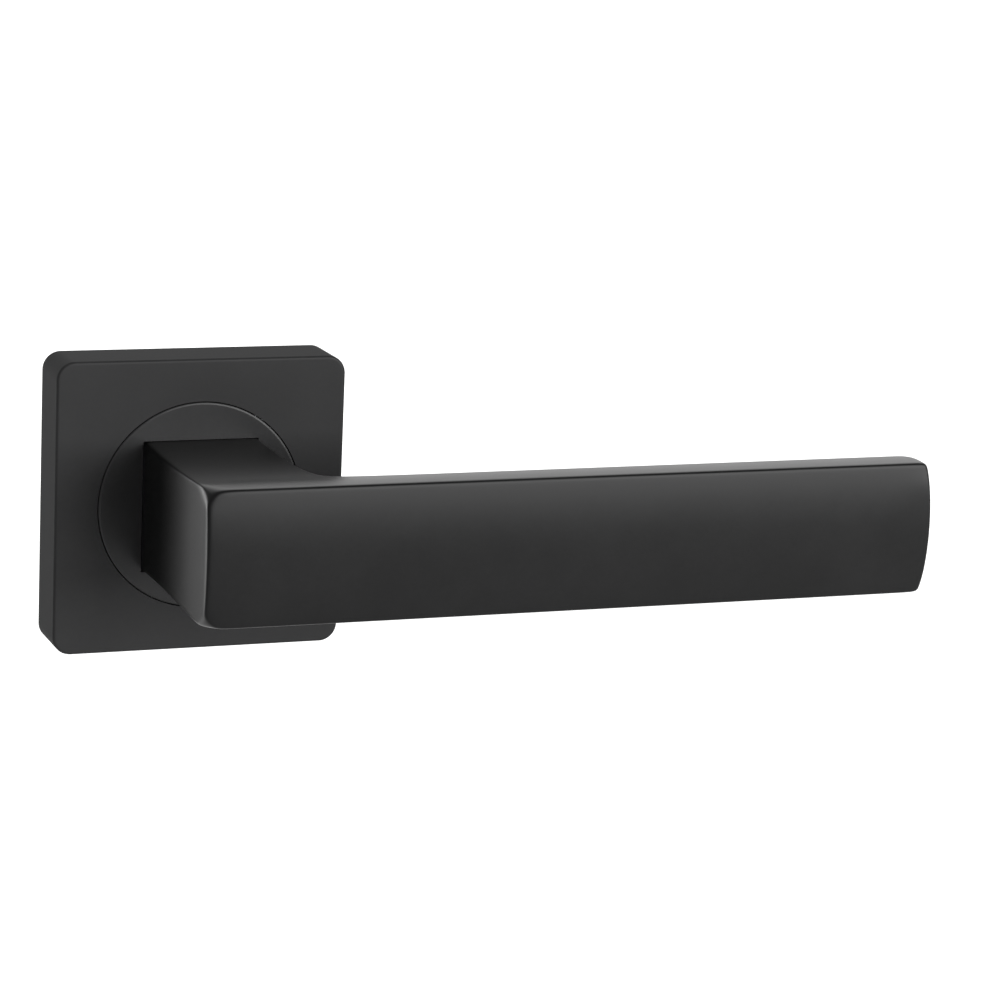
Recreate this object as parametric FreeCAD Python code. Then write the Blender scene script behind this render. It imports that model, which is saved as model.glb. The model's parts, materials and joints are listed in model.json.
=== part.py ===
import FreeCAD, Part
import math
import os

# A door lever handle on a square sprung rose, in millimetres, +Z up.
# The origin lies on the spindle's axis, in the plane where the rose meets the door.
# +X runs along the lever to its tip and +Y runs into the door, so the handle stands out along -Y.
# A "depth" is a distance out from the door, so depth d lies at y = -d.
# Angles are seen from the front of the door, counterclockwise from +X.

# ---- Rose cover
rose_side = 52.0
rose_depth = 10.8
rose_wall = 1.5
rose_corner_radius = 3.2
rose_edge_radius = 0.4
pry_notch_width = 6.0
pry_notch_height = 1.2

# ---- Collar disc, which fills the cover's round hole and turns with the lever
disc_radius = 18.35
disc_thickness = 1.8
disc_edge_chamfer = 0.15
disc_gap = 0.3
neck_pocket_depth = 0.8
neck_pocket_gap = 0.05

# ---- Lever: arm, neck and shank
arm_tip = 122.8
heel_reach = 10.45
arm_height = 23.6
arm_edge_thickness = 6.7
arm_projection = 50.4
arm_front_crown = 0.9
arm_side_crown = 0.25
arm_crown_run_out = 0.4
arm_end_bow = 0.9
arm_corner_radius = 2.2
arm_tip_back_radius = 2.0
arm_edge_radius = 0.45
neck_right = 10.3
neck_height = 23.3
neck_waist = 0.35
neck_fillet = 7.0
shank_radius = 8.0
shank_end_depth = 0.3
shank_key_flat = 6.9

# ---- Spindle, its leaf spring and its grub screw
spindle_side = 8.0
spindle_edge_chamfer = 0.5
spindle_reach = 58.0
spindle_head_depth = 32.0
socket_gap = 0.05
socket_end_gap = 0.5
leaf_thickness = 0.4
leaf_width = 3.0
leaf_length = 14.0
leaf_start_depth = 4.0
leaf_bow = 0.6
leaf_slot_depth = 1.0
grub_radius = 3.0
grub_length = 6.5
grub_depth = 22.0
grub_hex = 3.0
grub_hex_depth = 3.0
grub_thread_gap = 0.05

# ---- Base plate and its hub
plate_thickness = 2.0
plate_gap = 0.3
plate_corner_radius = 1.8
hub_radius = 13.0
hub_recess_depth = 3.0
hub_recess_radius = 11.4

# ---- Bearing parts on the shank
running_gap = 0.05
face_gap = 0.05
bush_wall = 1.6
bush_flange_radius = 12.4
bush_flange_thickness = 0.6
glide_thickness = 0.6
cam_thickness = 1.5
circlip_thickness = 1.0
circlip_depth = 0.5
circlip_groove = 0.5
circlip_ring_width = 1.5
circlip_mouth = 60.0
circlip_ear_radius = 1.4
circlip_hole_radius = 0.6
curved_washer_thickness = 0.3
curved_washer_width = 2.3
thrust_washer_thickness = 0.8
thrust_washer_width = 2.9

# ---- Turning stops
turn_range = 45.0
tab_angle = 112.5
tab_half_width = 3.0
stop_radius = 19.0
stop_pin_radius = 1.5
stop_gap = 0.15
pin_seat_depth = 1.5
tab_overhang = 1.6
cam_radius = 16.8

# ---- Return spring
wire_diameter = 1.3
coil_radius = 14.1
coil_pitch = 1.45
coil_end_gap = 0.2
coil_part_turn = 0.55
leg_length = 1.8
leg_gap = 0.05
hook_pin_radius = 1.2

# ---- Fixings
tie_centres = 38.0
tie_post_radius = 3.0
tie_post_reach = 10.0
tie_thread_radius = 1.65
tie_head_radius = 3.8
tie_head_thickness = 1.4
tie_slot_width = 1.0
tie_slot_depth = 0.8
wood_screw_spacing = 35.0
wood_shank_radius = 1.75
wood_head_radius = 3.4
wood_head_height = 2.0
wood_length = 20.0
wood_tip_length = 4.0
wood_point_radius = 0.2
wood_recess_radius = 1.3
wood_recess_depth = 1.0
wood_hole_gap = 0.2

# ---- Clips that hold the cover on the base plate
clip_spacing = 22.0
clip_width = 6.0
clip_thickness = 0.5
clip_foot_length = 4.6
clip_height = 5.0
clip_wall_gap = 0.1
clip_bead_radius = 0.6
clip_bead_depth = 4.6
clip_groove_gap = 0.1
rivet_radius = 0.9
rivet_head_radius = 1.5
rivet_head_height = 0.6
rivet_inset = 2.9

# ---- Depths that follow from the stack between the door and the disc's face
disc_back = rose_depth - disc_thickness
cam_front = disc_back - face_gap
cam_back = cam_front - cam_thickness
glide_front = cam_back - face_gap
glide_back = glide_front - glide_thickness
hub_front = glide_back - bush_flange_thickness
cover_hole_radius = disc_radius + disc_gap
neck_foot_depth = rose_depth - neck_pocket_depth
cover_inside = rose_side / 2 - rose_wall
plate_side = 2 * (cover_inside - plate_gap)
bush_radius = shank_radius + running_gap + bush_wall
tab_radius = stop_radius + tab_overhang
thrust_front = hub_recess_depth - face_gap
thrust_back = thrust_front - thrust_washer_thickness
circlip_front = circlip_depth + circlip_thickness
curved_washer_rise = thrust_back - circlip_front - curved_washer_thickness - 2 * face_gap

# ---- The spring's turns follow from the room between the base plate and the cam
coil_room = cam_back - plate_thickness - 2 * coil_end_gap
whole_turns = math.floor((coil_room - wire_diameter) / coil_pitch - coil_part_turn)
coil_turns = whole_turns + coil_part_turn
coil_back = plate_thickness + coil_end_gap + wire_diameter / 2
coil_front = coil_back + coil_turns * coil_pitch
front_leg_angle = tab_angle
rear_leg_angle = tab_angle + 360 * coil_turns
hook_bend_radius = hook_pin_radius + leg_gap + wire_diameter / 2
hook_pin_reach = coil_radius + hook_bend_radius


def vec(x, y, z):
    return FreeCAD.Vector(x, y, z)


def polar(radius, angle, depth=0.0):
    """A point at an angle round the spindle's axis, at a depth."""
    turn = math.radians(angle)
    return vec(radius * math.cos(turn), -depth, radius * math.sin(turn))


def rod(radius, low, high, x=0.0, z=0.0):
    """A round bar along Y between two depths."""
    return Part.makeCylinder(radius, high - low, vec(x, -low, z), vec(0, -1, 0))


def cone_between(low_radius, high_radius, low, high, x, z):
    """A round taper along Y between two depths."""
    return Part.makeCone(low_radius, high_radius, high - low, vec(x, -low, z), vec(0, -1, 0))


def tube(inner, outer, low, high):
    return rod(outer, low, high).cut(rod(inner, low - 1, high + 1))


def block(x0, x1, low, high, z0, z1):
    """A box between two depths."""
    return Part.makeBox(x1 - x0, high - low, z1 - z0, vec(x0, -high, z0))


def bar_at(angle, r0, r1, half_width, low, high):
    """A box whose centre line points outwards at an angle."""
    bar = block(r0, r1, low, high, -half_width, half_width)
    return bar.rotate(vec(0, 0, 0), vec(0, -1, 0), angle)


def rounded_square(side, radius, low, high):
    half = side / 2
    slab = block(-half, half, low, high, -half, half)
    return slab.makeFillet(radius, [e for e in slab.Edges if runs_along(e, vec(0, 1, 0))])


def runs_along(edge, direction):
    """Whether an edge is straight and parallel to a direction."""
    if not isinstance(edge.Curve, Part.Line):
        return False
    return abs(edge.tangentAt(edge.FirstParameter).dot(direction)) > 0.999


def edges_near(shape, direction, point):
    """The straight edges of a shape that run along a direction through a point, seen along it."""
    found = []
    for edge in shape.Edges:
        if runs_along(edge, direction):
            step = edge.CenterOfMass - point
            if (step - direction * step.dot(direction)).Length < 0.01:
                found.append(edge)
    return found


def arc_between(start, middle, end):
    return Part.Arc(start, middle, end).toShape()


def line_between(start, end):
    return Part.LineSegment(start, end).toShape()


def extruded(edges, along):
    return Part.Face(Part.Wire(edges)).extrude(along)


def export(name, shape):
    """Writes one node, made of one or more separate solids."""
    shape.exportStep("parts/" + name + ".step")


# ---- Lever

def lever_plan():
    """The lever seen from above: the arm, the neck and the round corner between them, over-tall."""
    arm_back = -(arm_projection - arm_edge_thickness)
    height = arm_height + 2
    past_front = arm_projection + arm_front_crown + 1
    arm = block(-heel_reach, arm_tip, -arm_back, past_front, -height / 2, height / 2)
    neck = block(-heel_reach, neck_right, neck_foot_depth, -arm_back, -height / 2, height / 2)
    plan = arm.fuse(neck).removeSplitter()
    inner = edges_near(plan, vec(0, 0, 1), vec(neck_right, arm_back, 0))
    tip_back = edges_near(plan, vec(0, 0, 1), vec(arm_tip, arm_back, 0))
    return plan.makeFillet(neck_fillet, inner).makeFillet(arm_tip_back_radius, tip_back)


def lever_side():
    """The lever seen from its tip: a crowned front, slightly crowned edges and a waisted neck."""
    half = arm_height / 2
    neck_half = neck_height / 2
    edge_back = -(arm_projection - arm_edge_thickness) + arm_crown_run_out
    edge_middle = (edge_back - arm_projection) / 2
    waist = (edge_back - neck_foot_depth) / 2
    start = -heel_reach - 1
    top_front = vec(start, -arm_projection, half)
    top_back = vec(start, edge_back, half)
    top_foot = vec(start, -neck_foot_depth, neck_half)
    low_foot = vec(start, -neck_foot_depth, -neck_half)
    low_back = vec(start, edge_back, -half)
    low_front = vec(start, -arm_projection, -half)
    edges = [
        arc_between(top_front, vec(start, edge_middle, half + arm_side_crown), top_back),
        arc_between(top_back, vec(start, waist, neck_half - neck_waist), top_foot),
        line_between(top_foot, low_foot),
        arc_between(low_foot, vec(start, waist, -neck_half + neck_waist), low_back),
        arc_between(low_back, vec(start, edge_middle, -half - arm_side_crown), low_front),
        arc_between(low_front, vec(start, -arm_projection - arm_front_crown, 0), top_front)]
    return extruded(edges, vec(arm_tip + heel_reach + 2, 0, 0))


def lever_front():
    """The lever seen from the front: a bar with a slightly bowed tip and small round corners."""
    half = arm_height / 2 + arm_side_crown
    heel = -heel_reach
    square_tip = arm_tip - arm_end_bow
    edges = [
        line_between(vec(heel, 0, -half), vec(heel, 0, half)),
        line_between(vec(heel, 0, half), vec(square_tip, 0, half)),
        arc_between(vec(square_tip, 0, half), vec(arm_tip, 0, 0), vec(square_tip, 0, -half)),
        line_between(vec(square_tip, 0, -half), vec(heel, 0, -half))]
    outline = extruded(edges, vec(0, -(arm_projection + arm_front_crown + 2), 0))
    corners = [e for e in outline.Edges if runs_along(e, vec(0, 1, 0))]
    return outline.makeFillet(arm_corner_radius, corners)


def neck_section(gap, low, high):
    """The neck's foot as a prism between two depths, larger all round by a gap."""
    half = arm_height / 2 + arm_side_crown + gap
    left = -heel_reach - gap
    prism = block(left, neck_right + gap, low, high, -half, half)
    along = vec(0, 1, 0)
    corners = edges_near(prism, along, vec(left, 0, half)) + edges_near(prism, along, vec(left, 0, -half))
    prism = prism.makeFillet(arm_corner_radius + gap, corners)
    foot_half = neck_height / 2 + gap
    return prism.common(block(-rose_side, rose_side, low, high, -foot_half, foot_half))


def shank():
    """The round shank, with its circlip groove and the two flats that drive the cam."""
    body = rod(shank_radius, shank_end_depth, neck_foot_depth + 0.5)
    groove = tube(shank_radius - circlip_groove, shank_radius + 1, circlip_depth - face_gap,
                  circlip_front + face_gap)
    flat_band = block(-shank_radius, shank_radius, cam_back - face_gap, cam_front + face_gap,
                      -shank_radius, shank_radius)
    flats = flat_band.cut(block(-shank_radius, shank_radius, cam_back - 1, rose_depth,
                                -shank_key_flat, shank_key_flat))
    return body.cut(groove).cut(flats)


def lever():
    """The one-piece casting: arm, neck and shank, with the spindle's socket and the grub screw's hole."""
    body = lever_plan().common(lever_side()).common(lever_front())
    front_edges = [e for e in body.Edges if e.CenterOfMass.y < 0.01 - arm_projection]
    body = body.makeFillet(arm_edge_radius, front_edges)
    half = spindle_side / 2 + socket_gap
    socket = block(-half, half, shank_end_depth - 1, spindle_head_depth + socket_end_gap, -half, half)
    low = -arm_height
    hole = Part.makeCylinder(grub_radius + grub_thread_gap, -low, vec(0, -grub_depth, low), vec(0, 0, 1))
    return body.fuse(shank()).removeSplitter().cut(socket).cut(hole)


def collar_disc():
    """The disc round the neck's foot, with a shallow pocket that the neck's foot keys into."""
    disc = rod(disc_radius, disc_back, rose_depth)
    rim = [e for e in disc.Edges if abs(e.BoundBox.YMin + rose_depth) < 0.01 and e.BoundBox.YLength < 0.01]
    disc = disc.makeChamfer(disc_edge_chamfer, rim)
    pocket = neck_section(neck_pocket_gap, neck_foot_depth, rose_depth + 1)
    return disc.cut(pocket).cut(rod(shank_radius + running_gap, disc_back - 1, rose_depth + 1))


def drive_cam():
    """A steel plate keyed on the shank: its tab meets the stop pins and its dog pushes the spring's leg."""
    plate = rod(cam_radius, cam_back, cam_front)
    tab = bar_at(tab_angle, coil_radius, tab_radius, tab_half_width, cam_back, cam_front)
    dog_place = polar(hook_pin_reach, tab_angle)
    dog = rod(hook_pin_radius, coil_front - wire_diameter, cam_back, dog_place.x, dog_place.z)
    flat_gap = shank_key_flat + running_gap
    hole = rod(shank_radius + running_gap, cam_back - 1, cam_front + 1)
    hole = hole.common(block(-rose_side, rose_side, 0, rose_depth, -flat_gap, flat_gap))
    return plate.fuse(tab).fuse(dog).removeSplitter().cut(hole)


def circlip():
    """An open retaining ring in the shank's groove, with two pierced ears beside its mouth."""
    inner = shank_radius - circlip_groove + running_gap
    outer = inner + circlip_ring_width
    low = circlip_depth
    high = circlip_front
    ring = tube(inner, outer, low, high)
    reach = 2 * outer
    half_mouth = math.radians(circlip_mouth / 2)
    corner = vec(reach * math.sin(half_mouth), -low + 1, -reach * math.cos(half_mouth))
    other = vec(-corner.x, corner.y, corner.z)
    hub = vec(0, corner.y, 0)
    wedge = extruded([line_between(hub, corner), line_between(corner, other), line_between(other, hub)],
                     vec(0, -circlip_thickness - 2, 0))
    ring = ring.cut(wedge)
    middle = (inner + outer) / 2
    for angle in (270 - circlip_mouth / 2, 270 + circlip_mouth / 2):
        centre = polar(middle + circlip_hole_radius, angle)
        ring = ring.fuse(rod(circlip_ear_radius, low, high, centre.x, centre.z))
    ring = ring.cut(rod(inner, low - 1, high + 1)).removeSplitter()
    for angle in (270 - circlip_mouth / 2, 270 + circlip_mouth / 2):
        centre = polar(middle + circlip_hole_radius, angle)
        ring = ring.cut(rod(circlip_hole_radius, low - 1, high + 1, centre.x, centre.z))
    return ring


def curved_washer():
    """A spring washer bent about one axis, which takes up the play behind the thrust washer."""
    outer = shank_radius + running_gap + curved_washer_width
    low = circlip_front + face_gap
    bend = (outer ** 2 + curved_washer_rise ** 2) / (2 * curved_washer_rise)
    length = 2 * outer + 2
    centre = vec(-length / 2, -low - bend - curved_washer_thickness, 0)
    shell = Part.makeCylinder(bend + curved_washer_thickness, length, centre, vec(1, 0, 0))
    shell = shell.cut(Part.makeCylinder(bend, length, centre, vec(1, 0, 0)))
    return tube(shank_radius + running_gap, outer, low - 1, thrust_back).common(shell)


def thrust_washer():
    inner = shank_radius + running_gap
    return tube(inner, inner + thrust_washer_width, thrust_back, thrust_front)


def spindle():
    """The square bar that turns the latch, with a shallow slot on top for its leaf spring."""
    half = spindle_side / 2
    bar = block(-half, half, -spindle_reach, spindle_head_depth, -half, half)
    ends = [e for e in bar.Edges if e.BoundBox.YLength < 0.01]
    bar = bar.makeChamfer(spindle_edge_chamfer, ends)
    side = leaf_width / 2 + running_gap
    start = leaf_start_depth - running_gap
    end = leaf_start_depth + leaf_length + running_gap
    return bar.cut(block(-side, side, start, end, half - leaf_slot_depth, half + 1))


def spindle_leaf():
    """A bowed leaf in the spindle's slot, which stops the spindle rattling in the socket."""
    bottom = spindle_side / 2 - leaf_slot_depth
    start = vec(-leaf_width / 2, -leaf_start_depth, bottom)
    end = start + vec(0, -leaf_length, 0)
    top = vec(start.x, (start.y + end.y) / 2, bottom + leaf_bow)
    lift = vec(0, 0, leaf_thickness)
    edges = [arc_between(start, top, end), line_between(end, end + lift),
             arc_between(end + lift, top + lift, start + lift), line_between(start + lift, start)]
    return extruded(edges, vec(leaf_width, 0, 0))


def spindle_grub_screw():
    """The hexagon-socket grub screw that clamps the spindle from under the neck."""
    top = -spindle_side / 2 - face_gap
    foot = vec(0, -grub_depth, top - grub_length)
    screw = Part.makeCylinder(grub_radius, grub_length, foot, vec(0, 0, 1))
    return screw.cut(hex_prism(grub_hex, grub_hex_depth, foot))


def hex_prism(across_flats, length, base):
    """An upright hexagonal prism on a base point."""
    radius = across_flats / math.sqrt(3)
    turns = [math.radians(60 * i) for i in range(6)]
    points = [base + vec(radius * math.cos(t), radius * math.sin(t), 0) for t in turns]
    return Part.Face(Part.makePolygon(points + points[:1])).extrude(vec(0, 0, length))


# ---- Rose, fixed on the door

def rose_cover():
    """The square cover: a hollow box open to the door, with the disc's round hole in its face."""
    outer = rounded_square(rose_side, rose_corner_radius, 0, rose_depth)
    front = [e for e in outer.Edges if e.BoundBox.YMin < -rose_depth + 0.01 and e.BoundBox.YLength < 0.01]
    outer = outer.makeFillet(rose_edge_radius, front)
    inner_radius = rose_corner_radius - rose_wall
    inner = rounded_square(2 * cover_inside, inner_radius, -1, rose_depth - rose_wall)
    cover = outer.cut(inner).cut(rod(cover_hole_radius, 0, rose_depth + 1))
    half_notch = pry_notch_width / 2
    cover = cover.cut(block(-half_notch, half_notch, -1, pry_notch_height, -rose_side, -cover_inside + 1))
    for x in clip_places():
        cover = cover.cut(clip_grooves(x))
    return cover


def clip_grooves(x):
    """The two shallow grooves, above and below, that one pair of clips snaps into."""
    length = clip_width + 2
    radius = clip_bead_radius + clip_groove_gap
    grooves = []
    for side in (-1, 1):
        centre = vec(x - length / 2, -clip_bead_depth, side * (cover_inside - clip_wall_gap))
        grooves.append(Part.makeCylinder(radius, length, centre, vec(1, 0, 0)))
    return Part.makeCompound(grooves)


def base_plate():
    """The cast plate behind the cover, with the hub that carries the lever's bearing."""
    plate = rounded_square(plate_side, plate_corner_radius, 0, plate_thickness)
    plate = plate.fuse(rod(hub_radius, 0, hub_front)).removeSplitter()
    plate = plate.cut(rod(hub_recess_radius, -1, hub_recess_depth))
    plate = plate.cut(rod(bush_radius, 0, hub_front + 1))
    for x in (-tie_centres / 2, tie_centres / 2):
        plate = plate.cut(rod(tie_post_radius, -1, plate_thickness + 1, x, 0))
    for x, z in wood_screw_places():
        plate = plate.cut(wood_screw_hole(x, z))
    for angle in stop_angles():
        pin = polar(stop_radius, angle)
        plate = plate.cut(rod(stop_pin_radius, plate_thickness - pin_seat_depth, rose_depth, pin.x, pin.z))
    anchor = polar(hook_pin_reach, rear_leg_angle)
    plate = plate.cut(rod(hook_pin_radius, plate_thickness - pin_seat_depth, rose_depth, anchor.x, anchor.z))
    for x, z in rivet_places():
        plate = plate.cut(rod(rivet_radius, -1, plate_thickness + 1, x, z))
    return plate


def bearing_bush():
    """The nylon bush pressed in the hub, with a thin flange in front of it."""
    inner = shank_radius + running_gap
    bush = tube(inner, bush_radius, hub_recess_depth, hub_front)
    flange = tube(inner, bush_flange_radius, hub_front, glide_back)
    return bush.fuse(flange).removeSplitter()


def glide_ring():
    """The slippery ring between the bush's flange and the cam."""
    return tube(shank_radius + running_gap, bush_flange_radius, glide_back, glide_front)


def stop_angles():
    """The angles of the two pins that the cam's tab meets at rest and at the end of its turn."""
    spread = math.degrees(math.asin((tab_half_width + stop_pin_radius + stop_gap) / stop_radius))
    return (tab_angle + spread, tab_angle - turn_range - spread)


def stop_pins():
    pins = []
    for angle in stop_angles():
        centre = polar(stop_radius, angle)
        pins.append(rod(stop_pin_radius, plate_thickness - pin_seat_depth, cam_front, centre.x, centre.z))
    return Part.makeCompound(pins)


# ---- Return spring

def hook(angle, depth, way):
    """The four points of a hook at a coil's end: the coil's end, round the pin, and along the leg.

    The hook leaves the coil clockwise for a way of 1, counterclockwise for -1, and turns outwards."""
    turn = math.radians(angle)
    slope = math.atan(coil_pitch / (2 * math.pi * coil_radius))
    flat = way * math.cos(slope)
    onward = vec(flat * math.sin(turn), -way * math.sin(slope), -flat * math.cos(turn))
    outward = polar(1, angle)
    coil_end = polar(coil_radius, angle, depth)
    centre = coil_end + outward * hook_bend_radius
    half_way = centre + (onward - outward) * (hook_bend_radius * math.sqrt(0.5))
    leg_start = centre + onward * hook_bend_radius
    return coil_end, half_way, leg_start, leg_start + outward * leg_length


def return_spring():
    """A torsion coil round the hub, hooked at the rear on the anchor pin and in front on the cam's dog."""
    rear_end, rear_bend, rear_leg, rear_tip = hook(rear_leg_angle, coil_back, -1)
    front_end, front_bend, front_leg, front_tip = hook(front_leg_angle, coil_front, 1)
    helix = Part.makeHelix(coil_pitch, coil_turns * coil_pitch, coil_radius, 0, True)
    helix = helix.rotate(vec(0, 0, 0), vec(1, 0, 0), 90)
    helix = helix.rotate(vec(0, 0, 0), vec(0, -1, 0), rear_leg_angle)
    helix = helix.translate(vec(0, -coil_back, 0))
    rear = [line_between(rear_tip, rear_leg), arc_between(rear_leg, rear_bend, rear_end)]
    front = [arc_between(front_end, front_bend, front_leg), line_between(front_leg, front_tip)]
    path = Part.Wire(Part.sortEdges(rear + helix.Edges + front)[0])
    section = Part.Wire(Part.makeCircle(wire_diameter / 2, rear_tip, rear_leg - rear_tip))
    return path.makePipeShell([section], True, False)


def spring_anchor_pin():
    """The pin in the base plate that the spring's rear hook bears on."""
    centre = polar(hook_pin_reach, rear_leg_angle)
    return rod(hook_pin_radius, plate_thickness - pin_seat_depth, coil_back + wire_diameter, centre.x, centre.z)


# ---- Fixings

def tie_posts():
    """The threaded posts that the through bolts from the other side of the door screw into."""
    posts = []
    for x in (-tie_centres / 2, tie_centres / 2):
        top = plate_thickness + tie_head_thickness
        post = rod(tie_post_radius, -tie_post_reach, plate_thickness, x, 0)
        post = post.fuse(rod(tie_head_radius, plate_thickness, top, x, 0)).removeSplitter()
        post = post.cut(rod(tie_thread_radius, -tie_post_reach - 1, plate_thickness, x, 0))
        half_slot = tie_slot_width / 2
        posts.append(post.cut(block(x - tie_head_radius, x + tie_head_radius, top - tie_slot_depth, top + 1,
                                    -half_slot, half_slot)))
    return Part.makeCompound(posts)


def wood_screw_places():
    half = wood_screw_spacing / 2
    return [(x, z) for x in (-half, half) for z in (-half, half)]


def wood_screw_hole(x, z):
    """A clearance hole with a countersink that the screw's head sinks into."""
    radius = wood_shank_radius + wood_hole_gap
    bottom = plate_thickness - wood_head_height
    return rod(radius, -1, plate_thickness, x, z).fuse(cone_between(wood_shank_radius, wood_head_radius,
                                                                    bottom, plate_thickness, x, z))


def wood_screws():
    """Countersunk screws into the door, with plain shanks, points and round driver recesses."""
    screws = []
    for x, z in wood_screw_places():
        bottom = plate_thickness - wood_head_height
        head = cone_between(wood_shank_radius, wood_head_radius, bottom, plate_thickness, x, z)
        point = bottom - wood_length
        tip_start = point + wood_tip_length
        body = rod(wood_shank_radius, tip_start, bottom, x, z)
        tip = cone_between(wood_point_radius, wood_shank_radius, point, tip_start, x, z)
        recess = rod(wood_recess_radius, plate_thickness - wood_recess_depth, plate_thickness + 1, x, z)
        screws.append(head.fuse([body, tip]).removeSplitter().cut(recess))
    return Part.makeCompound(screws)


def clip_places():
    return (-clip_spacing / 2, clip_spacing / 2)


def rivet_places():
    reach = cover_inside - clip_wall_gap - rivet_inset
    return [(x, side * reach) for x in clip_places() for side in (-1, 1)]


def cover_clips():
    """Four bent spring clips on the base plate, with beads that snap into the cover's grooves."""
    clips = []
    outer = cover_inside - clip_wall_gap
    for x in clip_places():
        left = x - clip_width / 2
        right = x + clip_width / 2
        low = plate_thickness
        foot = block(left, right, low, low + clip_thickness, outer - clip_foot_length, outer)
        wall = block(left, right, low, low + clip_height, outer - clip_thickness, outer)
        bead = Part.makeCylinder(clip_bead_radius, clip_width, vec(left, -clip_bead_depth, outer), vec(1, 0, 0))
        bead = bead.cut(block(left, right, 0, rose_depth, cover_inside / 2, outer - clip_thickness / 2))
        clip = foot.fuse([wall, bead]).removeSplitter()
        hole_at = outer - rivet_inset
        clip = clip.cut(rod(rivet_radius, 0, rose_depth, x, hole_at))
        clips.append(clip)
        clips.append(clip.mirror(vec(0, 0, 0), vec(0, 0, 1)))
    return Part.makeCompound(clips)


def clip_rivets():
    """The rivets that hold the clips' feet on the base plate, closed flush at the back."""
    rivets = []
    top = plate_thickness + clip_thickness
    for x, z in rivet_places():
        head = rod(rivet_head_radius, top, top + rivet_head_height, x, z)
        rivets.append(rod(rivet_radius, 0, top, x, z).fuse(head).removeSplitter())
    return Part.makeCompound(rivets)


def main():
    os.makedirs("parts", exist_ok=True)
    # What turns with the lever
    export("lever", lever())
    export("collar_disc", collar_disc())
    export("drive_cam", drive_cam())
    export("spindle", spindle())
    export("spindle_leaf", spindle_leaf())
    export("spindle_grub_screw", spindle_grub_screw())
    export("circlip", circlip())
    export("curved_washer", curved_washer())
    export("thrust_washer", thrust_washer())
    # What stays on the door
    export("rose_cover", rose_cover())
    export("base_plate", base_plate())
    export("bearing_bush", bearing_bush())
    export("glide_ring", glide_ring())
    export("return_spring", return_spring())
    export("spring_anchor_pin", spring_anchor_pin())
    export("stop_pins", stop_pins())
    export("tie_posts", tie_posts())
    export("wood_screws", wood_screws())
    export("cover_clips", cover_clips())
    export("clip_rivets", clip_rivets())


main()
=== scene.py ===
import json
import math

import bmesh
import bpy
from mathutils import Matrix, Vector

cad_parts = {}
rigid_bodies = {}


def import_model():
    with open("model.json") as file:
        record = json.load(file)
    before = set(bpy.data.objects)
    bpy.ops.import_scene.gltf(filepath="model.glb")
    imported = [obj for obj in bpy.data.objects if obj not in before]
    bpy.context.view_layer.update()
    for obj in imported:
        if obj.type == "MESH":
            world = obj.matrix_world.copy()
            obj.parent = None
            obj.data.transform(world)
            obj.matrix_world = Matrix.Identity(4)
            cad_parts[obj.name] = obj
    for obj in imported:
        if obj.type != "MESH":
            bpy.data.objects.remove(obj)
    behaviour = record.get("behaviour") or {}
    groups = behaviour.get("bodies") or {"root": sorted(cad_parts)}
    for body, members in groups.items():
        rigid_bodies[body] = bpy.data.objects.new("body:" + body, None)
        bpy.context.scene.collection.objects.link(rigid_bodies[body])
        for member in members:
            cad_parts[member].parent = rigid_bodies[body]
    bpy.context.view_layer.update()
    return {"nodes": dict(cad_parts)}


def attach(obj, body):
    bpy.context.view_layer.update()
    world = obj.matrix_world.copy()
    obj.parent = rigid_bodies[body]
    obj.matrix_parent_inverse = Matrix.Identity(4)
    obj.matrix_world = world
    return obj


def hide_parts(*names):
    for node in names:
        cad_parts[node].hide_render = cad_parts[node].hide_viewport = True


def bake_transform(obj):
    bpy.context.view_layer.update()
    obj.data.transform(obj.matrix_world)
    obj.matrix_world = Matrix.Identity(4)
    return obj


for left_over in list(bpy.data.objects):
    bpy.data.objects.remove(left_over)
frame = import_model()
nodes = frame["nodes"]
mm = 0.001

# ---- Lever: one zinc die casting of arm, neck and shank, linished smooth and stove-coated satin black.
# The square socket takes the spindle, and the hole under the neck takes its grub screw.


def added(name, primitive, **size):
    """Add a primitive with nothing else selected, name it, fix its place in its mesh and start editing it."""
    if bpy.context.mode != "OBJECT":
        bpy.ops.object.mode_set(mode="OBJECT")
    bpy.ops.object.select_all(action="DESELECT")
    primitive(**size)
    piece = bpy.context.object
    piece.name = piece.data.name = name
    bpy.ops.object.transform_apply()
    bpy.ops.object.mode_set(mode="EDIT")
    return piece


def block(name, low, high):
    """A box between two corners, given in millimetres."""
    low, high = Vector(low) * mm, Vector(high) * mm
    return added(name, bpy.ops.mesh.primitive_cube_add, size=1, location=(low + high) / 2, scale=high - low)


def middle(part):
    """The place of a corner, or the middle of an edge or face, in millimetres."""
    corners = getattr(part, "verts", [part])
    return sum((corner.co for corner in corners), Vector()) / len(corners) / mm


def pick(kind, passes):
    """While editing, select only the VERT, EDGE or FACE parts that pass a test."""
    bpy.ops.mesh.select_mode(type=kind)
    bpy.ops.mesh.select_all(action="DESELECT")
    mesh = bmesh.from_edit_mesh(bpy.context.object.data)
    for part in {"VERT": mesh.verts, "EDGE": mesh.edges, "FACE": mesh.faces}[kind]:
        if passes(part):
            part.select_set(True)
    mesh.select_flush_mode()
    bmesh.update_edit_mesh(bpy.context.object.data)


def cut(axis, places):
    """While editing, cut the whole piece with planes across one axis, 0 to 2, at places in millimetres."""
    normal = Vector([float(i == axis) for i in range(3)])
    for place in places:
        bpy.ops.mesh.select_all(action="SELECT")
        bpy.ops.mesh.bisect(plane_co=normal * place * mm, plane_no=normal)


def move(x=0.0, y=0.0, z=0.0):
    """Move what is selected, in millimetres."""
    bpy.ops.transform.translate(value=(x * mm, y * mm, z * mm))


def near(value, target, slack=0.02):
    """Whether two places on one axis agree, in millimetres."""
    return abs(value - target) < slack


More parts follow.
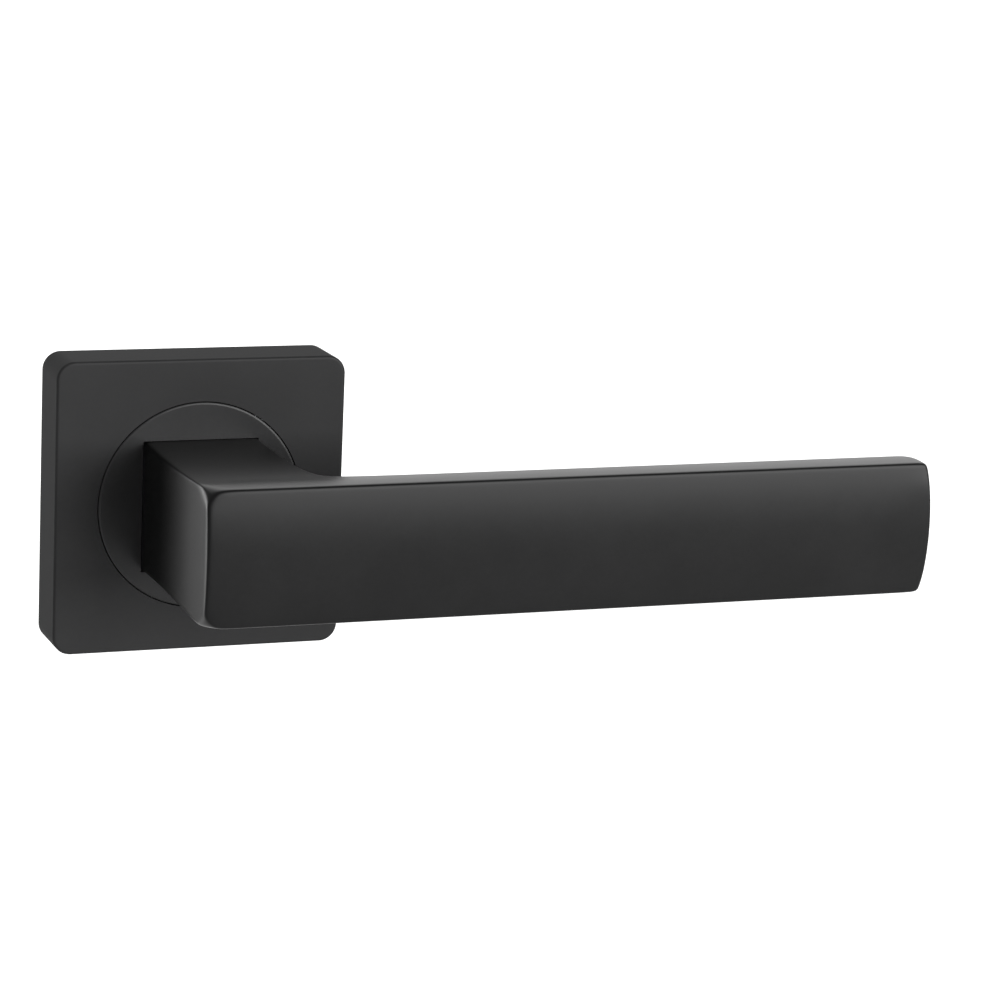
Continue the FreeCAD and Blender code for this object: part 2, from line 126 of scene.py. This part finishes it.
def with_modifier(piece, kind, **settings):
    """Add a modifier and apply it at once."""
    modifier = piece.modifiers.new(kind.title(), kind)
    for name, value in settings.items():
        setattr(modifier, name, value)
    bpy.context.view_layer.objects.active = piece
    bpy.ops.object.modifier_apply(modifier=modifier.name)


def joined(piece, tool, operation):
    """Cut a tool out of a piece, or weld it on, remove the tool and clear the slivers that this leaves."""
    bpy.ops.object.mode_set(mode="OBJECT")
    with_modifier(piece, "BOOLEAN", object=tool, operation=operation, solver="EXACT")
    bpy.data.objects.remove(tool)
    bpy.ops.object.select_all(action="DESELECT")
    piece.select_set(True)
    bpy.ops.object.mode_set(mode="EDIT")
    bpy.ops.mesh.select_all(action="SELECT")
    sliver = 0.004 * mm
    bpy.ops.mesh.remove_doubles(threshold=sliver)
    bpy.ops.mesh.dissolve_degenerate(threshold=sliver)
    bpy.ops.object.mode_set(mode="OBJECT")


def smoothed(piece, angle):
    """Shade a finished piece smooth, with edges sharper than an angle in degrees left crisp."""
    bpy.ops.object.select_all(action="DESELECT")
    piece.select_set(True)
    bpy.context.view_layer.objects.active = piece
    bpy.ops.object.shade_smooth_by_angle(angle=math.radians(angle))


class Wire:
    """A shader socket that Python's operators work on, each adding its Math node."""

    def __init__(self, tree, socket):
        self.tree, self.socket = tree, socket

    def node(self, kind, settings, sockets, output=0):
        """Add any node: its settings first, then the values or links of its sockets."""
        made = self.tree.nodes.new(kind)
        for name, value in settings.items():
            setattr(made, name, value)
        for name, value in sockets.items():
            if isinstance(value, Wire):
                self.tree.links.new(value.socket, made.inputs[name])
            else:
                made.inputs[name].default_value = value
        return Wire(self.tree, made.outputs[output])

    def maths(self, operation, first, second):
        return self.node("ShaderNodeMath", {"operation": operation}, {0: first, 1: second})

    def __add__(self, other):
        return self.maths("ADD", self, other)

    __radd__ = __add__

    def __sub__(self, other):
        return self.maths("SUBTRACT", self, other)

    def __rsub__(self, other):
        return self.maths("SUBTRACT", other, self)

    def __mul__(self, other):
        return self.maths("MULTIPLY", self, other)

    __rmul__ = __mul__

    def noise(self, scale, stretch=(1, 1, 1)):
        """Noise from 0 to 1 on this wire's coordinates, with scale features to the metre."""
        drawn_out = self.node("ShaderNodeMapping", {}, {"Vector": self, "Scale": stretch})
        return self.node("ShaderNodeTexNoise", {}, {"Vector": drawn_out, "Scale": scale, "Detail": 3})

    def between(self, low, high):
        """A colour between two, by this wire."""
        return self.node("ShaderNodeMix", {"data_type": "RGBA"},
                         {0: self, 6: (*low, 1), 7: (*high, 1)}, output=2)

    def stepped(self, start, end):
        """This wire taken from 0 at start to 1 at end, and held there."""
        return self.node("ShaderNodeMapRange", {"interpolation_type": "SMOOTHSTEP"},
                         {"Value": self, "From Min": start, "From Max": end})


def finish(name, dark, light, rough, rough_spread, grain, grain_height, metal=0.0, specular=0.5,
           stretch=(1, 1, 1), mottle=90.0, dull_behind=None):
    """A finish with slow mottling between two colours, and a fine grain in its gloss and its surface. It can
    be duller behind a depth, given in metres."""
    material = bpy.data.materials.new(name)
    material.use_nodes = True
    tree = material.node_tree
    shader = tree.nodes["Principled BSDF"]
    place = Wire(tree, tree.nodes.new("ShaderNodeTexCoord").outputs["Object"])
    slow = place.noise(mottle)
    fine = place.noise(grain, stretch)
    colour = (slow * 0.7 + fine * 0.3).stepped(0.3, 0.7).between(dark, light)
    gloss = rough + rough_spread * ((slow - 0.5) + (fine - 0.5))
    if dull_behind is not None:
        depth = place.node("ShaderNodeSeparateXYZ", {}, {0: place}, output=1)
        gloss = gloss + 0.4 * depth.stepped(dull_behind, dull_behind + 0.15 * mm)
    bump = place.node("ShaderNodeBump", {}, {"Height": fine, "Strength": 1.0, "Distance": grain_height * mm})
    tree.links.new(colour.socket, shader.inputs["Base Color"])
    tree.links.new(gloss.socket, shader.inputs["Roughness"])
    tree.links.new(bump.socket, shader.inputs["Normal"])
    shader.inputs["Metallic"].default_value = metal
    shader.inputs["Specular IOR Level"].default_value = specular
    return material


def completed(piece, body, slot, material, *replaced):
    """Give a piece its finish, the body that it rides on and the nodes it stands for. The slot argument is
    not used.
    """
    piece.data.materials.clear()
    piece.data.materials.append(material)
    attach(piece, body)
    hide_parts(*replaced)


HEEL, ARM_END, ARM_FRONT, ARM_BACK = -10.45, 121.9, -50.4, -43.7
NECK_RIGHT, NECK_FOOT, HALF_HEIGHT, EDGE = 10.3, -10.0, 11.8, 0.8
ARM_MIDDLE, NECK_FRONT, NECK_MIDDLE, NECK_BACK = -47, -32, -22, -14
ROWS = (-HALF_HEIGHT + EDGE, -8, -4, 0, 4, 8, HALF_HEIGHT - EDGE)
BOW, CORNER, CORNER_SPREAD = 0.9, 0.75, 1.4
lever = block("lever_handle", (HEEL, ARM_FRONT, -HALF_HEIGHT), (ARM_END, ARM_BACK, HALF_HEIGHT))
cut(0, [NECK_RIGHT])
pick("FACE", lambda f: f.normal.y > 0.9 and middle(f).x < NECK_RIGHT)
bpy.ops.mesh.extrude_region()
move(y=NECK_FOOT - ARM_BACK)
cut(0, [HEEL + EDGE, -5, 3, NECK_RIGHT - EDGE, 22, 48, 75, 103, 118, ARM_END - EDGE])
cut(1, [ARM_FRONT + EDGE, ARM_MIDDLE, ARM_BACK - EDGE, NECK_FRONT, NECK_MIDDLE, NECK_BACK, NECK_FOOT - EDGE])
cut(2, ROWS)
for z in ROWS:
    bulge = BOW * (1 - (z / HALF_HEIGHT) ** 2)
    pick("VERT", lambda v: near(middle(v).z, z) and near(middle(v).y, ARM_FRONT))
    move(y=-bulge)
    pick("VERT", lambda v: near(middle(v).z, z) and middle(v).x > ARM_END - EDGE - 0.1)
    move(x=bulge)
for x, roll_off in ((HEEL, 0.14), (HEEL + EDGE, 0.08), (ARM_END - EDGE, 0.08), (ARM_END, 0.12)):
    pick("VERT", lambda v: near(middle(v).x, x, 0.3) and middle(v).y < ARM_FRONT + 0.1)
    move(y=roll_off)
for y, lift in ((ARM_FRONT + EDGE, 0.09), (ARM_MIDDLE, 0.25), (ARM_BACK - EDGE, 0.09)):
    for side in (-1, 1):
        pick("VERT", lambda v: near(middle(v).y, y) and near(middle(v).z, side * HALF_HEIGHT))
        move(z=side * lift)
for side in (-1, 1):
    for y, share in ((ARM_FRONT, 1.0), (ARM_FRONT + EDGE, 0.85), (ARM_MIDDLE, 0.15), (NECK_MIDDLE, 0.15),
                     (NECK_BACK, 0.2), (NECK_FOOT - EDGE, 0.15), (NECK_FOOT, 0.15)):
        pick("VERT", lambda v: near(middle(v).y, y, 0.25) and near(middle(v).x, HEEL)
             and near(middle(v).z, side * HALF_HEIGHT, 0.3))
        move(x=CORNER * share, z=-CORNER * share * side)
        pick("VERT", lambda v: near(middle(v).y, y, 0.25) and near(middle(v).x, HEEL + EDGE)
             and near(middle(v).z, side * HALF_HEIGHT, 0.3))
        move(x=CORNER_SPREAD * share)
        pick("VERT", lambda v: near(middle(v).y, y, 0.25) and near(middle(v).x, HEEL)
             and near(middle(v).z, side * (HALF_HEIGHT - EDGE), 0.3))
        move(z=-CORNER_SPREAD * share * side)
for y, half in ((NECK_FRONT, 11.4), (NECK_MIDDLE, 11.33), (NECK_BACK, 11.5), (NECK_FOOT - EDGE, 11.62),
                (NECK_FOOT, 11.65)):
    pick("VERT", lambda v: near(middle(v).y, y))
    bpy.ops.transform.resize(value=(1, 1, half / HALF_HEIGHT), center_override=(0, y * mm, 0))
for side in (-1, 1):
    pick("VERT", lambda v: near(middle(v).z, side * HALF_HEIGHT) and near(middle(v).x, NECK_RIGHT)
         and near(middle(v).y, ARM_BACK))
    move(x=1.1, y=1.1)
    for x, inwards in ((HEEL + EDGE, 0.4), (ARM_END - EDGE, -0.3)):
        pick("VERT", lambda v: near(middle(v).x, x, 0.25) and near(middle(v).y, ARM_FRONT, 0.25)
             and near(middle(v).z, side * (HALF_HEIGHT - EDGE), 0.3))
        move(x=inwards, z=-abs(inwards) * side)
    pick("VERT", lambda v: near(middle(v).x, ARM_END, 0.3) and near(middle(v).z, side * HALF_HEIGHT, 0.3))
    move(x=-0.25, z=-0.25 * side)
    pick("VERT", lambda v: near(middle(v).x, ARM_END - EDGE, 0.3)
         and near(middle(v).z, side * HALF_HEIGHT, 0.3))
    move(x=-0.5)
    pick("VERT", lambda v: near(middle(v).x, ARM_END, 0.3)
         and near(middle(v).z, side * (HALF_HEIGHT - EDGE), 0.3))
    move(z=-0.5 * side)
pick("VERT", lambda v: middle(v).x > 121.2 and near(middle(v).y, ARM_BACK, 0.1))
move(x=-0.8, y=-0.8)
pick("VERT", lambda v: 120 < middle(v).x < 122.1 and near(middle(v).y, ARM_BACK, 0.1))
move(x=-1.0)
pick("VERT", lambda v: middle(v).x > 121.2 and near(middle(v).y, ARM_BACK - EDGE, 0.1))
move(y=-1.0)
bpy.ops.object.mode_set(mode="OBJECT")
with_modifier(lever, "SUBSURF", levels=3, render_levels=3)

SHANK, GROOVE, GROOVE_BACK, GROOVE_FRONT, GROOVE_STEP = 8, 7.5, -0.5, -1.5, 0.05
shank = added("shank", bpy.ops.mesh.primitive_cylinder_add, vertices=96, radius=SHANK * mm, depth=11.7 * mm,
              location=(0, -6.15 * mm, 0), rotation=(math.pi / 2, 0, 0))
cut(1, [GROOVE_BACK + GROOVE_STEP, GROOVE_FRONT - GROOVE_STEP, GROOVE_BACK, GROOVE_FRONT])
pick("VERT", lambda v: GROOVE_FRONT - 0.01 < middle(v).y < GROOVE_BACK + 0.01)
bpy.ops.transform.resize(value=(GROOVE / SHANK, 1, GROOVE / SHANK), center_override=(0, 0, 0))
joined(lever, shank, "UNION")
SOCKET, SOCKET_FRONT, SCREW_HOLE = 4.05, -32.5, 3.05
socket = block("socket", (-SOCKET, SOCKET_FRONT, -SOCKET), (SOCKET, 1, SOCKET))
joined(lever, socket, "DIFFERENCE")
screw_hole = added("screw_hole", bpy.ops.mesh.primitive_cylinder_add, vertices=48, radius=SCREW_HOLE * mm,
                   depth=12 * mm, location=(0, NECK_MIDDLE * mm, -10 * mm))
joined(lever, screw_hole, "DIFFERENCE")
smoothed(lever, 32)
completed(lever, "lever", "black_lever",
          finish("satin_black_lever", (0.002, 0.002, 0.0021), (0.0035, 0.0035, 0.0036), 0.34, 0.04,
                 1500.0, 0.0012, specular=0.11), "lever")

# ---- Collar disc: a turned zinc disc, coated a shade duller than the lever. The neck's foot sits in a
# shallow pocket in its face, so that it turns with the lever inside the cover's round hole.


def outline(name, profile):
    """Start editing a chain of edges through (radius, depth) points, in millimetres."""
    places = [Vector((radius, -depth, 0)) * mm for radius, depth in profile]
    piece = added(name, bpy.ops.mesh.primitive_plane_add, size=mm)
    pick("VERT", lambda v: v.index > 0)
    bpy.ops.mesh.delete(type="VERT")
    bpy.ops.mesh.select_all(action="SELECT")
    bpy.ops.transform.translate(value=places[0] - bmesh.from_edit_mesh(piece.data).verts[:][0].co)
    for here, there in zip(places, places[1:]):
        bpy.ops.mesh.extrude_vertices_move(TRANSFORM_OT_translate={"value": there - here})
    return piece


def turned(name, profile, steps):
    """Turn an outline of (radius, depth) points round the spindle's axis into a closed piece."""
    piece = outline(name, profile)
    bpy.ops.mesh.select_all(action="SELECT")
    bpy.ops.mesh.spin(steps=steps, angle=2 * math.pi, center=(0, 0, 0), axis=(0, 1, 0))
    bpy.ops.mesh.select_all(action="SELECT")
    bpy.ops.mesh.remove_doubles(threshold=0.001 * mm)
    bpy.ops.mesh.normals_make_consistent(inside=False)
    bpy.ops.object.mode_set(mode="OBJECT")
    return piece


DISC, DISC_HOLE, DISC_BACK, DISC_FRONT = 18.35, 8.05, 9.0, 10.8
disc = turned("collar_face", [(DISC_HOLE, DISC_BACK), (DISC - 0.15, DISC_BACK), (DISC, DISC_BACK + 0.15),
                              (DISC, DISC_FRONT - 0.3), (DISC - 0.06, DISC_FRONT - 0.1),
                              (DISC - 0.25, DISC_FRONT), (DISC - 0.45, DISC_FRONT), (DISC_HOLE, DISC_FRONT),
                              (DISC_HOLE, DISC_BACK)], 128)
POCKET, POCKET_GAP = 11.7, 0.05
pocket = block("pocket", (HEEL - POCKET_GAP, -12, -POCKET), (NECK_RIGHT + POCKET_GAP, NECK_FOOT, POCKET))
joined(disc, pocket, "DIFFERENCE")
smoothed(disc, 30)
completed(disc, "lever", "black_disc",
          finish("satin_black_disc", (0.0075, 0.0075, 0.0078), (0.0095, 0.0095, 0.0098), 0.34, 0.04,
                 1500.0, 0.0014, specular=0.16), "collar_disc")

# ---- Rose cover: a pressed square cap, open towards the door, with a round hole for the collar disc.
# Its front edge is barely broken, and a notch under it lets a screwdriver pry it off its clips.

ROSE, ROSE_FRONT, WALL, ROUNDING, COVER_HOLE = 26.0, -10.8, 1.5, 3.2, 18.5
cover = block("rose_cap", (-ROSE, ROSE_FRONT, -ROSE), (ROSE, 0, ROSE))
pick("EDGE", lambda e: near(abs(middle(e).x), ROSE) and near(abs(middle(e).z), ROSE))
bpy.ops.mesh.bevel(offset=ROUNDING * mm, segments=12, affect="EDGES")
pick("FACE", lambda f: f.normal.y > 0.9)
bpy.ops.mesh.delete(type="FACE")
pick("EDGE", lambda e: near(middle(e).y, ROSE_FRONT))
bpy.ops.mesh.bevel(offset=0.4 * mm, segments=4, affect="EDGES")
pick("FACE", lambda f: f.normal.y < -0.99)
bpy.ops.mesh.inset(thickness=0.25 * mm)
past_rounding = 22.6
for axis in (0, 2):
    cut(axis, [-past_rounding, past_rounding])
cut(1, [ROSE_FRONT + 0.65, -0.3])
bpy.ops.object.mode_set(mode="OBJECT")
with_modifier(cover, "SOLIDIFY", thickness=WALL * mm, offset=-1, use_even_offset=True)
hole = added("hole", bpy.ops.mesh.primitive_cylinder_add, vertices=128, radius=COVER_HOLE * mm,
             depth=6 * mm, location=(0, -10 * mm, 0), rotation=(math.pi / 2, 0, 0))
joined(cover, hole, "DIFFERENCE")
notch = block("notch", (-3, -1.2, -28), (3, 1, -24))
joined(cover, notch, "DIFFERENCE")
smoothed(cover, 30)
completed(cover, "rose", "black_rose",
          finish("satin_black_rose", (0.0075, 0.0075, 0.0078), (0.0095, 0.0095, 0.0098), 0.48, 0.05,
                 1500.0, 0.0018, specular=0.14, dull_behind=(ROSE_FRONT + 0.1) * mm), "rose_cover")

# ---- Spindle: a drawn square steel bar, zinc plated, with chamfered ends and softly rolled edges.
# A slot in its top holds a bowed leaf spring, which takes up the play in the lever's socket.

SPINDLE, SPINDLE_FRONT, SPINDLE_BACK, CHAMFER = 4, -31.5, 57.5, 0.5
bar = block("spindle_bar", (-SPINDLE, SPINDLE_FRONT, -SPINDLE), (SPINDLE, SPINDLE_BACK, SPINDLE))
pick("FACE", lambda f: abs(f.normal.y) > 0.9)
bpy.ops.mesh.inset(thickness=CHAMFER * mm, depth=CHAMFER * mm)
pick("EDGE", lambda e: near(abs(middle(e).x), SPINDLE) and near(abs(middle(e).z), SPINDLE))
bpy.ops.mesh.bevel(offset=0.25 * mm, segments=3, affect="EDGES")
leaf_slot = block("leaf_slot", (-1.55, -18.05, 3), (1.55, -3.95, 5))
joined(bar, leaf_slot, "DIFFERENCE")
smoothed(bar, 35)
completed(bar, "lever", "spindle_steel",
          finish("drawn_steel", (0.26, 0.265, 0.275), (0.4, 0.4, 0.41), 0.4, 0.22, 3200.0, 0.004,
                 metal=1.0, stretch=(1, 0.015, 1)), "spindle")

# ---- Leaf spring, curved washer and cover clips: hard strip steel, stamped, bent and left oiled. The leaf
# sits in the spindle's slot, the curved washer behind the thrust washer, and the clips on the base plate.

spring_strip = finish("oiled_spring_steel", (0.2, 0.2, 0.21), (0.33, 0.33, 0.34), 0.34, 0.16, 2200.0, 0.003,
                      metal=1.0, stretch=(0.05, 1, 1))
for name in ("spindle_leaf", "curved_washer", "cover_clips"):
    nodes[name].material_slots[0].material = spring_strip

# ---- Grub screw and circlip: the socket screw that clamps the spindle, and the ring that keeps the lever
# in its bush. Both are hardened steel with a black oxide finish.

oxide = finish("black_oxide_steel", (0.025, 0.025, 0.028), (0.06, 0.06, 0.065), 0.38, 0.14, 2400.0, 0.003,
               metal=0.8)
for name in ("spindle_grub_screw", "circlip"):
    nodes[name].material_slots[0].material = oxide

# ---- Drive cam, stop pins, spring pin and clip rivets: stamped or headed steel, bright zinc plated. The
# cam is keyed on the lever's shank, and the pins and rivets are fixed in the base plate.

plating = finish("bright_zinc_plate", (0.5, 0.51, 0.54), (0.68, 0.69, 0.7), 0.32, 0.16, 1500.0, 0.003,
                 metal=1.0, mottle=260.0)
for name in ("drive_cam", "stop_pins", "spring_anchor_pin", "clip_rivets"):
    nodes[name].material_slots[0].material = plating

# ---- Bush, glide ring and thrust washer: injection-moulded nylon, natural white and faintly mottled. They
# keep metal off metal where the lever turns in the rose.

nylon = finish("moulded_nylon", (0.6, 0.58, 0.5), (0.72, 0.7, 0.63), 0.45, 0.14, 1300.0, 0.004, mottle=180.0)
for name in ("thrust_washer", "bearing_bush", "glide_ring"):
    nodes[name].material_slots[0].material = nylon

# ---- Base plate: a zinc die casting, tumbled and left bare. Its hub carries the lever's bush, and it has
# countersinks for the wood screws and seats for the posts, pins and rivets.

nodes["base_plate"].material_slots[0].material = finish(
    "tumbled_cast_zinc", (0.3, 0.3, 0.31), (0.46, 0.46, 0.47), 0.5, 0.2, 1900.0, 0.012, metal=1.0,
    mottle=150.0)

# ---- Return spring: round music wire in two and a half turns round the hub, hooked on the pin in the
# base plate at the back and on the cam's dog in front, so it winds up as the lever goes down.

COIL, WIRE, BEND, LEG = 14.1, 0.65, 1.9, 1.8
REAR, FRONT, TURNS = (310.5, 2.85), (112.5, 6.5475), 2.55
coil = added("wound_spring", bpy.ops.mesh.primitive_circle_add, vertices=14, radius=WIRE * mm,
             location=(COIL * mm, -REAR[1] * mm, 0))
bpy.ops.transform.rotate(value=math.radians(REAR[0]), orient_axis="Y", center_override=(0, 0, 0))
bpy.ops.object.mode_set(mode="OBJECT")
with_modifier(coil, "SCREW", axis="Y", angle=math.radians(360 * TURNS), steps=110, render_steps=110,
              screw_offset=(REAR[1] - FRONT[1]) * mm, use_smooth_shade=True)
bpy.ops.object.mode_set(mode="EDIT")
for (angle, depth), way in ((REAR, -1), (FRONT, 1)):
    outward = Vector((math.cos(math.radians(angle)), 0, math.sin(math.radians(angle))))
    end = outward * COIL - Vector((0, depth, 0))
    centre = end + outward * BEND
    pick("VERT", lambda v: (middle(v) - end).length < WIRE * 1.02)
    bpy.ops.mesh.spin(steps=6, angle=way * math.pi / 2, center=centre * mm, axis=(0, 1, 0))
    bpy.ops.mesh.extrude_region()
    bpy.ops.transform.translate(value=outward * LEG * mm)
    bpy.ops.mesh.edge_face_add()
bpy.ops.mesh.select_all(action="SELECT")
bpy.ops.mesh.normals_make_consistent(inside=False)
bpy.ops.object.mode_set(mode="OBJECT")
smoothed(coil, 50)
coil.data.materials.append(finish("music_wire", (0.22, 0.22, 0.23), (0.36, 0.36, 0.37), 0.3, 0.14, 2600.0,
                                  0.002, metal=1.0))
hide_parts("return_spring")
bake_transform(coil)

# ---- Tie posts: turned steel posts held in the base plate, for the bolts that come through the door from
# the other handle. Rings in the bore stand for its thread, and each post has a slotted head in front.

PLATE_FRONT, TAPPING, THREAD_ROOT, PITCH, POST, POST_BACK, POST_HEAD = 2.0, 1.65, 1.95, 0.7, 3.0, -10, 3.8
bore = []
for ring_number in range(15):
    at = 1.4 - PITCH * ring_number
    bore += [(TAPPING, at), (THREAD_ROOT, at - PITCH / 2)]
post = turned("tie_post_left", [(0, PLATE_FRONT), (TAPPING, PLATE_FRONT), *bore, (TAPPING, -9.5),
                                (THREAD_ROOT, POST_BACK), (2.6, POST_BACK), (POST, -9.6), (POST, PLATE_FRONT),
                                (POST_HEAD, PLATE_FRONT), (POST_HEAD, 3.15), (3.6, 3.4), (0, 3.4)], 48)
slot = block("slot", (-4, -4, -0.5), (4, -2.6, 0.5))
joined(post, slot, "DIFFERENCE")
post_plate = finish("plated_posts", (0.5, 0.51, 0.54), (0.68, 0.69, 0.7), 0.3, 0.16, 1500.0, 0.003,
                    metal=1.0, stretch=(1, 8, 1), mottle=260.0)


def copied(piece, name, x, z):
    """A copy of a piece with its own mesh, moved across the door in millimetres."""
    twin = piece.copy()
    twin.data = piece.data.copy()
    twin.name = twin.data.name = name
    twin.data.transform(Matrix.Translation((x * mm, 0, z * mm)))
    bpy.context.scene.collection.objects.link(twin)
    return twin


TIE_PLACE = 19
smoothed(post, 30)
twin = copied(post, "tie_post_right", TIE_PLACE, 0)
post.data.transform(Matrix.Translation((-TIE_PLACE * mm, 0, 0)))
for piece in (post, twin):
    completed(piece, "rose", "plated_steel", post_plate, "tie_posts")

# ---- Wood screws: four countersunk screws with rolled threads and crossed recesses, in yellow
# passivated steel, through the base plate's corners into the door.

TIP, TAPER, CORE, WOOD_SHANK, SCREW_HEAD, BURIED = -19.7, 4.0, 1.2, 1.75, 3.3, 1.1
core = [(CORE, TIP + 0.4 * step) for step in range(11)]
screw = turned("wood_screw_1", [(0, TIP), *core, (CORE, -3.6), (1.7, -3.2), (WOOD_SHANK, 0),
                                (SCREW_HEAD, 1.9), (SCREW_HEAD, PLATE_FRONT), (0, PLATE_FRONT)], 24)
thread = outline("thread", [(BURIED, -4.6), (WOOD_SHANK, -4.28), (WOOD_SHANK, -4.2), (BURIED, -3.88),
                            (BURIED, -4.6)])
bpy.ops.mesh.select_all(action="SELECT")
bpy.ops.mesh.remove_doubles(threshold=0.001 * mm)
bpy.ops.object.mode_set(mode="OBJECT")
with_modifier(thread, "SCREW", axis="Y", angle=2 * math.pi, steps=20, render_steps=20, iterations=10,
              screw_offset=1.5 * mm)
bpy.ops.object.mode_set(mode="EDIT")
bpy.ops.mesh.select_all(action="SELECT")
bpy.ops.mesh.remove_doubles(threshold=0.001 * mm)
bpy.ops.mesh.select_all(action="DESELECT")
bpy.ops.mesh.select_mode(type="VERT")
bpy.ops.mesh.select_non_manifold()
bpy.ops.mesh.edge_face_add()
bpy.ops.mesh.select_all(action="SELECT")
bpy.ops.mesh.normals_make_consistent(inside=False)
joined(screw, thread, "UNION")
with_modifier(screw, "TRIANGULATE")
bpy.ops.object.mode_set(mode="EDIT")
STEPS = 40
for step in range(STEPS):
    high = -TIP - TAPER + 0.1 * step
    pick("VERT", lambda v: high <= middle(v).y < high + 0.1 + (step == STEPS - 1) * 1.0)
    narrow = 1 - 0.9 * (step + 1) / STEPS
    bpy.ops.transform.resize(value=(narrow, 1, narrow), center_override=(0, high * mm, 0))
for width, depth in ((1.25, 0.32), (0.32, 1.25)):
    recess = block("recess", (-width, -3, -depth), (width, -0.9, depth))
    joined(screw, recess, "DIFFERENCE")
smoothed(screw, 35)
yellow = finish("yellow_passivate", (0.5, 0.34, 0.12), (0.72, 0.56, 0.26), 0.3, 0.18, 1300.0, 0.003,
                metal=1.0, mottle=420.0)
SCREW_PLACE = 17.5
for number, (x, z) in enumerate(((1, 1), (-1, 1), (1, -1)), 2):
    x, z = x * SCREW_PLACE, z * SCREW_PLACE
    completed(copied(screw, f"wood_screw_{number}", x, z), "rose", "yellow_steel", yellow, "wood_screws")
screw.data.transform(Matrix.Translation((-SCREW_PLACE * mm, 0, -SCREW_PLACE * mm)))
completed(screw, "rose", "yellow_steel", yellow, "wood_screws")

# ---- Floor, soft light and camera: a pale floor well below the handle, four soft lights and a white
# surround. None of it belongs to the handle.

floor = added("floor", bpy.ops.mesh.primitive_plane_add, size=26, location=(0, 5, -0.45))
bpy.ops.object.mode_set(mode="OBJECT")
floor.data.materials.append(finish("pale_floor", (0.86, 0.86, 0.86), (0.9, 0.9, 0.9), 0.7, 0.02, 40.0, 0.01,
                                   mottle=3.0, specular=0.1))


def soft_light(name, place, aim, width, height, glow):
    """A rectangular soft light whose face glows with one brightness, turned towards a point."""
    lamp = bpy.data.lights.new(name, "AREA")
    lamp.shape, lamp.size, lamp.size_y = "RECTANGLE", width, height
    lamp.energy = glow * width * height * math.pi
    holder = bpy.data.objects.new(name, lamp)
    bpy.context.scene.collection.objects.link(holder)
    holder.matrix_world = (Matrix.Translation(place)
                           @ (Vector(aim) - Vector(place)).to_track_quat("-Z", "Y").to_matrix().to_4x4())


soft_light("front_light", (0.95, -1.65, 0.37), (0.03, -0.05, 0), 1.5, 0.8, 16.0)
soft_light("top_light", (1.2, 4.8, 4.0), (1.2, 4.7, 0), 9.0, 7.0, 2.1)
soft_light("back_light", (1.0, 3.6, 1.0), (0, 0, 0), 3.4, 1.5, 1.2)
soft_light("side_light", (-1.3, 1.5, -0.05), (0, 0, 0), 0.9, 0.7, 8.0)
world = bpy.data.worlds.new("studio")
world.use_nodes = True
surround = world.node_tree.nodes["Background"]
surround.inputs["Color"].default_value = (1, 1, 1, 1)
surround.inputs["Strength"].default_value = 0.6
bpy.context.scene.world = world
bpy.context.scene.view_settings.view_transform = "Standard"

turn, height, roll = math.radians(-21.449), math.radians(12.768), math.radians(-2.602)
back = Vector((math.sin(turn) * math.cos(height), -math.cos(turn) * math.cos(height), math.sin(height)))
level_right = (-back).cross(Vector((0, 0, 1))).normalized()
level_down = (-back).cross(level_right)
right = math.cos(roll) * level_right + math.sin(roll) * level_down
down = (-back).cross(right)
view = bpy.data.cameras.new("view")
view.lens, view.sensor_width, view.clip_start = 124.14, 36.0, 0.01
holder = bpy.data.objects.new("view", view)
bpy.context.scene.collection.objects.link(holder)
holder.matrix_world = (Matrix.Translation((-0.16654, -0.57817, 0.13679))
                       @ Matrix((right, -down, back)).transposed().to_4x4())
bpy.context.scene.camera = holder
